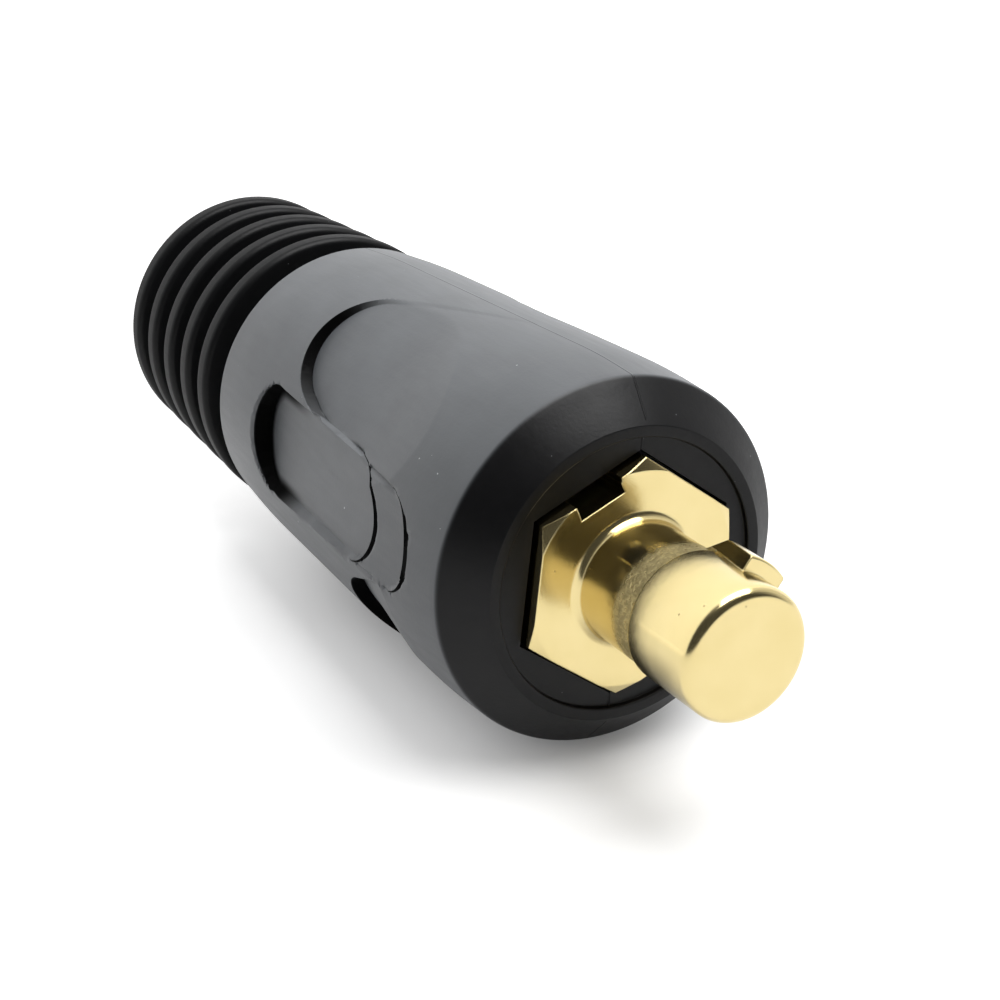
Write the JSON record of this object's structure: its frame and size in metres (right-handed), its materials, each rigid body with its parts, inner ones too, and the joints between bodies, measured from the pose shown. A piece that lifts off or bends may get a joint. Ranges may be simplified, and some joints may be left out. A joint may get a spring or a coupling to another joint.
{
  "type": "welding cable plug",
  "caption": "Bayonet welding cable plug: brass pin with side nib and hexagon flange in a black rubber sleeve with thumb scoops, oval side recesses and a ribbed cable boot.",
  "frame": {"origin": "centre of the end of the cable boot, on which the plug stands", "axes": "+Z along the plug's axis, from the cable boot to the pin's tip; -Y and +Y through the sleeve's parting line, and -X and +X through its two oval recesses"},
  "size_m": [0.0382, 0.0382, 0.1133],
  "materials": {
    "black_rubber": "satin moulded",
    "gold_brass": "turned and plated, polished",
    "blackened_steel": "blackened"
  },
  "bodies": {
    "sleeve": {"rubber_sleeve": "black_rubber"},
    "contact": {"brass_contact": "gold_brass"},
    "screw_front": {"clamp_screw_front": "blackened_steel"},
    "screw_rear": {"clamp_screw_rear": "blackened_steel"}
  },
  "joints": [
    {"name": "contact_slide", "type": "slide", "parent": "sleeve", "child": "contact", "axis": [0, 0, 1], "range_m": [0, 0.038]},
    {"name": "front_screw_clamp", "type": "slide", "parent": "contact", "child": "screw_front", "axis": [0, 1, 0], "range_m": [0, 0.0025]},
    {"name": "rear_screw_clamp", "type": "slide", "parent": "contact", "child": "screw_rear", "axis": [0, 1, 0], "range_m": [0, 0.0025]}
  ]
}
